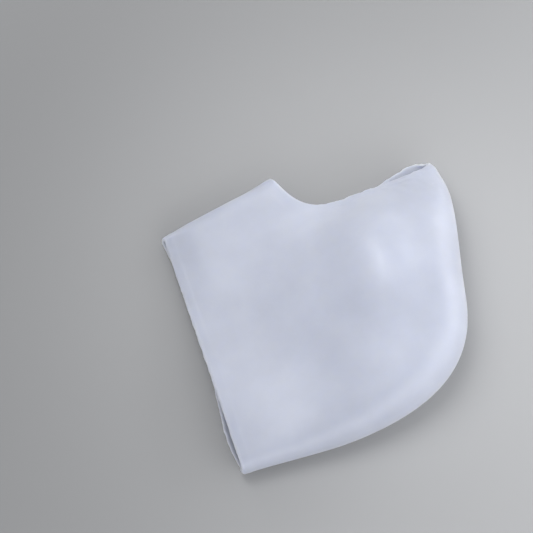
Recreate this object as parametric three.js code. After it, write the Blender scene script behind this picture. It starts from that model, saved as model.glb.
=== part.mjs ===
// A silicone heel cover lying on its side: one moulded sleeve that wraps the midfoot and cups the heel.
// It is an open tube. One end takes the foot, the other the ankle, and a bead runs round both rims.
// Millimetres. X runs along the sole towards the heel, Y from the sole towards the ankle, Z up.
import * as THREE from 'three';
import { ParametricGeometry } from 'three/addons/geometries/ParametricGeometry.js';

const { clamp, lerp, smoothstep } = THREE.MathUtils;
const QUARTER_TURN = Math.PI / 2;

// The silicone wall, and how proud of it a bead stands along each rim, at the instep fold and the heel fold.
const WALL = 1.6;
const FRONT_BEAD = { instep: 0.22, heel: 0.22 };
const ANKLE_BEAD = { instep: 0.1, heel: 0.35 };
const BEAD_WIDTH = 2.9;
const BEAD_FADE = 1.0;

// Corners of the flattened sleeve, seen from above.
const INSTEP_FRONT = new THREE.Vector2(2.4, 101.7);
const INSTEP_REAR = new THREE.Vector2(49.5, 111.6);
const NOTCH_LOW = new THREE.Vector2(71.5, 92.0);
const SOLE_FRONT = new THREE.Vector2(4.0, 0.6);
const SOLE_REAR = new THREE.Vector2(40, -1.2);
const HEEL_LOW = new THREE.Vector2(104.4, 36.6);
const HEEL_TOP = new THREE.Vector2(113.2, 94.6);

// How far, and which way, each curve runs out of a corner before it bends to the next one.
const SOLE_REAR_PULL = new THREE.Vector2(42.5, 0);
const HEEL_LOW_PULL_DOWN = new THREE.Vector2(-4.2, -24);
const HEEL_LOW_PULL_UP = new THREE.Vector2(5.8, 27);
const HEEL_TOP_PULL = new THREE.Vector2(7.5, -13.5);
const INSTEP_REAR_PULL = new THREE.Vector2(3.2, -9);
const NOTCH_PULL_FRONT = new THREE.Vector2(-15, 0);
const NOTCH_PULL_REAR = new THREE.Vector2(14, 0);
const ANKLE_HEEL_PULL = new THREE.Vector2(-12.5, -2.4);

// Sections from the front rim (0) to the ankle rim (1): the radius of the instep fold, the radius of the
// sole and heel fold, and how far the upper layer bulges up (or sinks) between the two.
const SECTIONS = [
  { along: 0.0, instepRadius: 2.3, heelRadius: 5.7, crown: 2.8 },
  { along: 0.2, instepRadius: 4.8, heelRadius: 8.9, crown: -0.1 },
  { along: 0.4, instepRadius: 5.2, heelRadius: 13.9, crown: 2.0 },
  { along: 0.6, instepRadius: 5.2, heelRadius: 17.3, crown: 7.6 },
  { along: 0.8, instepRadius: 5.0, heelRadius: 16.0, crown: 7.3 },
  { along: 1.0, instepRadius: 4.8, heelRadius: 6.2, crown: 1.6 },
];
const CROWN_SKEW = 1.7;

// How high the lower layer stands off the table at each rim, and how far along the sleeve that reaches.
const FRONT_LIFT = { instep: 0.9, middle: 0.5, heel: 1.4 };
const ANKLE_LIFT = { instep: 1.6, middle: 0.8, heel: 2.2 };
const LIFT_ACROSS = 0.35;
const LIFT_ALONG = 0.25;

// How far the lower layer's rim reaches past the upper one, from the instep fold (0) to the heel fold (1).
const FRONT_REACH = [
  { across: 0.0, reach: 0.9 },
  { across: 0.03, reach: 0.6 },
  { across: 0.08, reach: -0.2 },
  { across: 0.13, reach: -0.6 },
  { across: 0.5, reach: -1.6 },
  { across: 0.75, reach: 0.7 },
  { across: 0.84, reach: 1.4 },
  { across: 0.9, reach: 1.2 },
  { across: 0.95, reach: 0.3 },
  { across: 1.0, reach: 0.2 },
];
const ANKLE_REACH = [
  { across: 0.0, reach: 0.0 },
  { across: 0.3, reach: -2.0 },
  { across: 0.5, reach: -1.0 },
  { across: 0.7, reach: 4.0 },
  { across: 0.85, reach: 6.2 },
  { across: 0.94, reach: 6.9 },
  { across: 1.0, reach: 5.7 },
];
const REACH_ALONG = 0.4;

// Facets: round each quarter of a fold, across each layer, along the wall and round the nose of a rim.
const TURN_FACETS = 6;
const LAYER_FACETS = 18;
const BEAD_ROWS = 5;
const BODY_ROWS = 20;
const NOSE_FACETS = 4;
const BEAD_BAND = BEAD_WIDTH + BEAD_FADE;

// A smooth function of a table's first column that gives its other columns by name.
function interpolate(table) {
  const [place, ...columns] = Object.keys(table[0]);
  const places = table.map((row) => row[place]);
  const samples = table.flatMap((row) => columns.map((column) => row[column]));
  const curve = new THREE.CubicInterpolant(places, samples, columns.length);
  return (at) => {
    const values = curve.evaluate(at);
    return Object.fromEntries(columns.map((column, index) => [column, values[index]]));
  };
}

function bezier(start, startPull, endPull, end) {
  return new THREE.CubicBezierCurve(start, start.clone().add(startPull), end.clone().add(endPull), end);
}

function joined(...curves) {
  const path = new THREE.CurvePath();
  curves.forEach((curve) => path.add(curve));
  return path;
}

// The two folds run from the front rim to the ankle rim, and the two rims from fold to fold.
const instepFold = new THREE.LineCurve(INSTEP_FRONT, INSTEP_REAR);
const heelFold = joined(
  new THREE.LineCurve(SOLE_FRONT, SOLE_REAR),
  bezier(SOLE_REAR, SOLE_REAR_PULL, HEEL_LOW_PULL_DOWN, HEEL_LOW),
  bezier(HEEL_LOW, HEEL_LOW_PULL_UP, HEEL_TOP_PULL, HEEL_TOP),
);
const frontRim = new THREE.LineCurve(INSTEP_FRONT, SOLE_FRONT);
const ankleRim = joined(
  bezier(INSTEP_REAR, INSTEP_REAR_PULL, NOTCH_PULL_FRONT, NOTCH_LOW),
  bezier(NOTCH_LOW, NOTCH_PULL_REAR, ANKLE_HEEL_PULL, HEEL_TOP),
);

const sectionAt = interpolate(SECTIONS);
const frontReachAt = interpolate(FRONT_REACH);
const ankleReachAt = interpolate(ANKLE_REACH);

// A point of the flattened sleeve: a patch stretched between the two folds and the two rims.
function flatPoint(across, along) {
  const point = new THREE.Vector2();
  point.addScaledVector(frontRim.getPoint(across), 1 - along);
  point.addScaledVector(ankleRim.getPoint(across), along);
  point.addScaledVector(instepFold.getPoint(along), 1 - across);
  point.addScaledVector(heelFold.getPoint(along), across);
  point.addScaledVector(INSTEP_FRONT, -(1 - across) * (1 - along));
  point.addScaledVector(SOLE_FRONT, -across * (1 - along));
  point.addScaledVector(INSTEP_REAR, -(1 - across) * along);
  point.addScaledVector(HEEL_TOP, -across * along);
  return point;
}

function liftAcross(lift, layer) {
  const fromInstep = lerp(lift.instep, lift.middle, smoothstep(layer, 0, LIFT_ACROSS));
  return lerp(fromInstep, lift.heel, smoothstep(layer, 1 - LIFT_ACROSS, 1));
}

// The outer skin. A lap starts at the instep fold, crosses the upper layer to the sole and heel fold, and
// comes back through the lower layer. Each fold is two quarter turns.
const HALF_LAP_FACETS = 2 * TURN_FACETS + LAYER_FACETS;
const TURN_SHARE = TURN_FACETS / HALF_LAP_FACETS;

function skin(lap, along) {
  const { instepRadius, heelRadius, crown } = sectionAt(along);
  const half = 1 - Math.abs(2 * lap - 1);
  const side = lap < 0.5 ? 1 : -1;
  const instepTurn = Math.min(half / TURN_SHARE, 1) * QUARTER_TURN;
  const heelTurn = Math.min((1 - half) / TURN_SHARE, 1) * QUARTER_TURN;
  const layer = clamp((half - TURN_SHARE) / (1 - 2 * TURN_SHARE), 0, 1);

  const width = instepFold.getPoint(along).distanceTo(heelFold.getPoint(along));
  const flatWidth = width - instepRadius - heelRadius;
  const fromInstep = instepRadius * (1 - Math.cos(instepTurn)) + heelRadius * Math.cos(heelTurn);
  const across = Math.min((fromInstep + layer * flatWidth) / width, 1);

  const nearFront = 1 - smoothstep(along, 0, LIFT_ALONG);
  const nearAnkle = smoothstep(along, 1 - LIFT_ALONG, 1);
  const bottom = nearFront * liftAcross(FRONT_LIFT, layer) + nearAnkle * liftAcross(ANKLE_LIFT, layer);
  const bulge = crown * Math.sin(Math.PI * layer ** CROWN_SKEW) ** 2;
  const thickness = 2 * lerp(instepRadius, heelRadius, smoothstep(layer, 0, 1)) + bulge;
  const spread = side * Math.sin(instepTurn) * Math.sin(heelTurn);
  const height = bottom + thickness * (1 + spread) / 2;

  const lowerShare = (1 - spread) / 2;
  const frontReach = frontReachAt(across).reach * (1 - smoothstep(along, 0, REACH_ALONG));
  const ankleReach = ankleReachAt(across).reach * smoothstep(along, 1 - REACH_ALONG, 1);
  const flat = flatPoint(across, along);
  return new THREE.Vector3(flat.x - lowerShare * frontReach, flat.y + lowerShare * ankleReach, height);
}

const STEP = 1e-3;

function alongSlope(lap, along) {
  const before = clamp(along - STEP, 0, 1);
  const after = clamp(along + STEP, 0, 1);
  return skin(lap, after).sub(skin(lap, before)).divideScalar(after - before);
}

function outwardNormal(lap, along) {
  const lapSlope = skin((lap + STEP) % 1, along).sub(skin((lap + 1 - STEP) % 1, along));
  return lapSlope.cross(alongSlope(lap, along)).normalize();
}

// Rows along the wall: evenly spaced across the bead at each rim, and shared out over the body between.
const SKIN_ROWS = 2 * BEAD_ROWS + BODY_ROWS;

function beadAt(bead, lap, bands) {
  const proud = lerp(bead.instep, bead.heel, 1 - Math.abs(2 * lap - 1));
  return proud * (1 - smoothstep(bands * BEAD_BAND, BEAD_WIDTH, BEAD_BAND));
}

function wallRow(lap, row) {
  const frontBand = BEAD_BAND / alongSlope(lap, 0).length();
  const ankleBand = BEAD_BAND / alongSlope(lap, 1).length();
  const fromFront = row / BEAD_ROWS;
  const fromAnkle = (SKIN_ROWS - row) / BEAD_ROWS;
  if (fromFront <= 1) {
    return { along: fromFront * frontBand, proud: beadAt(FRONT_BEAD, lap, fromFront) };
  }
  if (fromAnkle <= 1) {
    return { along: 1 - fromAnkle * ankleBand, proud: beadAt(ANKLE_BEAD, lap, fromAnkle) };
  }
  return { along: lerp(frontBand, 1 - ankleBand, (row - BEAD_ROWS) / BODY_ROWS), proud: 0 };
}

// A point of the wall. A nose angle of a quarter turn is on the outer face and of minus a quarter turn on the
// inner face. The angles between them go round the nose of a rim.
function wallPoint(lap, row, noseAngle, rimSide) {
  const { along, proud } = wallRow(lap, row);
  const normal = outwardNormal(lap, along);
  const halfWall = (WALL + proud) / 2;
  const middle = skin(lap, along).addScaledVector(normal, proud - halfWall);
  const outOfRim = alongSlope(lap, along).multiplyScalar(rimSide).normalize();
  middle.addScaledVector(normal, halfWall * Math.sin(noseAngle));
  return middle.addScaledVector(outOfRim, halfWall * Math.cos(noseAngle));
}

// Once round the wall: its outer face, the ankle rim, its inner face back again, and the front rim.
const ROWS_ROUND = 2 * (SKIN_ROWS + NOSE_FACETS);

function sleeveWall(lap, round, target) {
  const row = round * ROWS_ROUND;
  const ankleNose = row - SKIN_ROWS;
  const inner = ankleNose - NOSE_FACETS;
  const frontNose = inner - SKIN_ROWS;
  if (ankleNose <= 0) {
    target.copy(wallPoint(lap, row, QUARTER_TURN, 1));
  } else if (inner <= 0) {
    target.copy(wallPoint(lap, SKIN_ROWS, QUARTER_TURN * (1 - 2 * ankleNose / NOSE_FACETS), 1));
  } else if (frontNose <= 0) {
    target.copy(wallPoint(lap, SKIN_ROWS - inner, -QUARTER_TURN, 1));
  } else {
    target.copy(wallPoint(lap, 0, QUARTER_TURN * (2 * frontNose / NOSE_FACETS - 1), -1));
  }
}

const silicone = new THREE.MeshStandardMaterial({ color: 0xc4cadb, roughness: 0.42, metalness: 0 });
const sleeve = new THREE.Mesh(new ParametricGeometry(sleeveWall, 2 * HALF_LAP_FACETS, ROWS_ROUND), silicone);
sleeve.name = 'heel_sleeve';

// The origin is under the middle of the cover, on the table.
const box = new THREE.Box3().setFromObject(sleeve);
const middle = box.getCenter(new THREE.Vector3());
sleeve.position.set(-middle.x, -middle.y, -box.min.z);

const heelCover = new THREE.Group();
heelCover.add(sleeve);
export default heelCover;
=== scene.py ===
# A silicone heel cover lying on its side: one soft moulded sleeve with a foot opening and an ankle opening.
import math

import bpy
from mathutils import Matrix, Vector


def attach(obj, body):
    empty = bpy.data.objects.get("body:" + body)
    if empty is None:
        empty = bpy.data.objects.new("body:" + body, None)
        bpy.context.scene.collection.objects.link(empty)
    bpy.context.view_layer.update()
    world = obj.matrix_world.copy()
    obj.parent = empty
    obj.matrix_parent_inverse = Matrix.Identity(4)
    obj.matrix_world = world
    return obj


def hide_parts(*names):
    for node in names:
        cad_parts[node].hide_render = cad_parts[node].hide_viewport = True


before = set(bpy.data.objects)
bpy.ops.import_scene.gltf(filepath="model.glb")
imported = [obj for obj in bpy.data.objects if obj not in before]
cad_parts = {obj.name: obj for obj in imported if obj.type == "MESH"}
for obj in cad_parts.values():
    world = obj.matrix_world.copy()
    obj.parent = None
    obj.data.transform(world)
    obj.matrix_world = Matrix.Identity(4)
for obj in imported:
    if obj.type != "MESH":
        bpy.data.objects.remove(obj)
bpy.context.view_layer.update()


# The sleeve.
# A single wall of silicone rubber, cast between an outer mould and a core and pulled off the core.
# It starts as a copy of the solid and is smoothed, so it keeps the solid's size and both of its openings.
MM = 0.001
SLEEVE_MERGE = 0.01 * MM
SLEEVE_QUAD_ANGLE = math.radians(70)
SLEEVE_SMOOTHING = 2
sleeve = bpy.data.objects.new("silicone_sleeve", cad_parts["heel_sleeve"].data.copy())
bpy.context.scene.collection.objects.link(sleeve)
bpy.ops.object.select_all(action="DESELECT")
sleeve.select_set(True)
bpy.context.view_layer.objects.active = sleeve
bpy.ops.object.mode_set(mode="EDIT")
bpy.ops.mesh.select_all(action="SELECT")
bpy.ops.mesh.remove_doubles(threshold=SLEEVE_MERGE)
bpy.ops.mesh.tris_convert_to_quads(face_threshold=SLEEVE_QUAD_ANGLE, shape_threshold=SLEEVE_QUAD_ANGLE)
bpy.ops.object.mode_set(mode="OBJECT")
smoothing = sleeve.modifiers.new("smoothing", "SUBSURF")
smoothing.levels = SLEEVE_SMOOTHING
smoothing.render_levels = SLEEVE_SMOOTHING
bpy.ops.object.modifier_apply(modifier=smoothing.name)
bpy.ops.object.shade_smooth()
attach(sleeve, "root")
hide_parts("heel_sleeve")


# The sleeve's unevenness.
# Both rims are trimmed, and their edges wander by some tenths of a millimetre. The upper layer lies in slight
# waves. Cloud patterns shift the vertices along one axis each, so the wall keeps its thickness.
TRIM_WAVER = 2.2 * MM
FRONT_TRIM_DEPTH = 0.6 * MM
ANKLE_TRIM_DEPTH = 0.9 * MM
UPPER_WAVES = 20 * MM
UPPER_WAVES_DEPTH = 0.5 * MM


def fade(value, start, end):
    share = min(max((value - start) / (end - start), 0), 1)
    return share * share * (3 - 2 * share)


def near_front_rim(spot):
    return fade(spot.x, -50 * MM, -54 * MM)


def near_ankle_rim(spot):
    return fade(spot.y, 22 * MM, 36 * MM) * fade(spot.x, 0, 16 * MM)


def upper_layer(spot):
    return fade(spot.z, 4 * MM, 12 * MM) * fade(spot.z, 37 * MM, 26 * MM)


def waver(name, weigh, axis, length, depth):
    group = sleeve.vertex_groups.new(name=name)
    for vertex in sleeve.data.vertices:
        group.add([vertex.index], weigh(vertex.co), "REPLACE")
    pattern = bpy.data.textures.new(name, "CLOUDS")
    pattern.noise_scale = length
    shift = sleeve.modifiers.new(name, "DISPLACE")
    shift.vertex_group = group.name
    shift.texture = pattern
    shift.texture_coords = "LOCAL"
    shift.direction = axis
    shift.strength = depth
    shift.mid_level = 0.5
    bpy.ops.object.select_all(action="DESELECT")
    sleeve.select_set(True)
    bpy.context.view_layer.objects.active = sleeve
    bpy.ops.object.modifier_apply(modifier=shift.name)


waver("front_trim", near_front_rim, "X", TRIM_WAVER, FRONT_TRIM_DEPTH)
waver("ankle_trim", near_ankle_rim, "Y", TRIM_WAVER, ANKLE_TRIM_DEPTH)
waver("upper_waves", upper_layer, "Z", UPPER_WAVES, UPPER_WAVES_DEPTH)


# The silicone.
# Silicone rubber, cast unpigmented in a matt mould: milky and translucent, with soft clouds in it and a satin
# skin. Light goes a few millimetres into it and comes out bluish white. The thin cut edges carry a painted
# glow:
# their base colour is mixed towards a paler bluish white. The hollow between the two layers carries painted
# shade:
# where the sleeve's walls close in around it, the base colour is mixed towards a dark grey-blue.
def linear(hex_colour):
    channels = [int(hex_colour[i:i + 2], 16) / 255 for i in (1, 3, 5)]
    return [c / 12.92 if c <= 0.04045 else ((c + 0.055) / 1.055) ** 2.4 for c in channels] + [1.0]


def add_node(material, kind, settings=(), **links):
    """One node of a material: settings are its properties or input values, links its inputs' sources."""
    node = material.node_tree.nodes.new(kind)
    for name, value in dict(settings).items():
        if name in node.inputs:
            node.inputs[name].default_value = value
        else:
            setattr(node, name, value)
    for name, source in links.items():
        material.node_tree.links.new(source, node.inputs[name.replace("_", " ")])
    return node


SILICONE_CLOUD = 26 * MM
SILICONE_SKIN = 0.9 * MM
SILICONE_SKIN_DEPTH = 0.05 * MM
SILICONE_SHADE_REACH = 25 * MM
SILICONE_EDGE_GLOW_REACH = 1.4 * MM
SILICONE_GLOW_DEPTH = 1.6 * MM
silicone = bpy.data.materials.new("cast_silicone")
silicone.use_nodes = True
silicone.node_tree.nodes.clear()
place = add_node(silicone, "ShaderNodeTexCoord")
clouds = add_node(
    silicone, "ShaderNodeTexNoise", {"Scale": 1 / SILICONE_CLOUD, "Detail": 4.0, "Roughness": 0.5},
    Vector=place.outputs["Object"],
)
milk = add_node(silicone, "ShaderNodeValToRGB", Fac=clouds.outputs["Fac"])
milk.color_ramp.elements[0].position = 0.3
milk.color_ramp.elements[0].color = linear("#bfc4d3")
milk.color_ramp.elements[1].position = 0.7
milk.color_ramp.elements[1].color = linear("#ced3e2")
# Painted shade: the base colour darkens towards a grey-blue where the sleeve's own walls close in.
hollow = add_node(silicone, "ShaderNodeAmbientOcclusion", {"Distance": SILICONE_SHADE_REACH, "only_local": True})
unshaded_share = add_node(
    silicone, "ShaderNodeMapRange", {"From Min": 0.3, "From Max": 0.9},
    Value=hollow.outputs["AO"],
)
# Painted glow: the base colour pales towards a bluish white where the wall is thin, at the cut edges.
core = add_node(
    silicone, "ShaderNodeAmbientOcclusion", {"Distance": SILICONE_EDGE_GLOW_REACH, "inside": True, "only_local": True},
)
edge_glow_share = add_node(
    silicone, "ShaderNodeMapRange", {"From Min": 0.98, "From Max": 0.7},
    Value=core.outputs["AO"],
)
edge_glow = add_node(
    silicone, "ShaderNodeMixRGB", {"Color2": linear("#e4e8f5")},
    Fac=edge_glow_share.outputs["Result"], Color1=milk.outputs["Color"],
)
shaded = add_node(
    silicone, "ShaderNodeMixRGB", {"Color1": linear("#5f667c")},
    Fac=unshaded_share.outputs["Result"], Color2=edge_glow.outputs["Color"],
)
skin = add_node(
    silicone, "ShaderNodeTexNoise", {"Scale": 1 / SILICONE_SKIN, "Detail": 2.0},
    Vector=place.outputs["Object"],
)
ripple = add_node(
    silicone, "ShaderNodeBump", {"Strength": 0.25, "Distance": SILICONE_SKIN_DEPTH},
    Height=skin.outputs["Fac"],
)
surface = add_node(
    silicone, "ShaderNodeBsdfPrincipled",
    {
        "IOR": 1.41, "Roughness": 0.40, "Subsurface Weight": 1.0, "Subsurface Scale": SILICONE_GLOW_DEPTH,
        "Subsurface Radius": (1.0, 1.05, 1.2), "Transmission Weight": 0.35,
        "Sheen Weight": 0.25, "Sheen Roughness": 0.35,
    },
    Base_Color=shaded.outputs["Color"], Normal=ripple.outputs["Normal"],
)
add_node(silicone, "ShaderNodeOutputMaterial", Surface=surface.outputs["BSDF"])
sleeve.data.materials.clear()
sleeve.data.materials.append(silicone)


# The table top.
# A plain pale board, wide enough to fill every view. It lies a hair below the sleeve, so that the two faces
# don't fall together.
TABLE_WIDTH = 8.0
TABLE_LEVEL = -0.05 * MM
bpy.ops.mesh.primitive_plane_add(size=TABLE_WIDTH, location=(0, 0, TABLE_LEVEL))
table_top = bpy.context.object
table_top.name = "table_top"
board = bpy.data.materials.new("pale_board")
board.use_nodes = True
board_surface = board.node_tree.nodes["Principled BSDF"]
board_surface.inputs["Base Color"].default_value = linear("#939496")
board_surface.inputs["Roughness"].default_value = 0.85
table_top.data.materials.append(board)


# The studio.
# A small soft light with a grid, close above the crest of the heel, wide ones to the left, to the right, in
# front and behind, and a white room. The right and front ones stand low, so the heel and sole catch light.
KEY_GRID_ANGLE = math.radians(56)


def softbox(name, place, aim, size, power):
    bpy.ops.object.light_add(type="AREA", location=place)
    light = bpy.context.object
    light.name = name
    light.rotation_euler = (Vector(aim) - Vector(place)).to_track_quat("-Z", "Y").to_euler()
    light.data.shape = "RECTANGLE"
    light.data.size, light.data.size_y = size
    light.data.energy = power
    return light


key = softbox("key_softbox", (-0.025, 0.065, 0.26), (0.028, 0.005, 0.035), (0.16, 0.18), 0.08)
key.data.spread = KEY_GRID_ANGLE
softbox("left_softbox", (-0.24, 0.06, 0.28), (-0.03, 0, 0.01), (0.30, 0.20), 0.03)
softbox("heel_softbox", (0.26, 0, 0.10), (0.03, 0, 0.02), (0.40, 0.14), 0.54)
softbox("sole_softbox", (0.06, -0.30, 0.16), (0.02, 0, 0.02), (0.50, 0.20), 0.82)
softbox("back_softbox", (-0.05, 0.38, 0.18), (0.015, 0, 0.02), (0.50, 0.20), 0.50)
room = bpy.data.worlds.new("white_room")
room.use_nodes = True
room.node_tree.nodes["Background"].inputs["Color"].default_value = linear("#ffffff")
room.node_tree.nodes["Background"].inputs["Strength"].default_value = 0.62
bpy.context.scene.world = room
bpy.context.scene.view_settings.view_transform = "Standard"


# The camera.
# It looks down steeply from the sole's side, so that the sole runs up to the right in the picture.
CAMERA_AZIMUTH = math.radians(-18)
CAMERA_ELEVATION = math.radians(70)
CAMERA_DISTANCE = 533 * MM
CAMERA_AIM = Vector((-20.4, 23.5, 0)) * MM
CAMERA_LENS = 90
CAMERA_SENSOR = 36
away = Vector((
    math.sin(CAMERA_AZIMUTH) * math.cos(CAMERA_ELEVATION),
    -math.cos(CAMERA_AZIMUTH) * math.cos(CAMERA_ELEVATION),
    math.sin(CAMERA_ELEVATION),
))
bpy.ops.object.camera_add(location=CAMERA_AIM + away * CAMERA_DISTANCE)
camera = bpy.context.object
camera.rotation_euler = (-away).to_track_quat("-Z", "Y").to_euler()
camera.data.lens = CAMERA_LENS
camera.data.sensor_width = CAMERA_SENSOR
bpy.context.scene.camera = camera
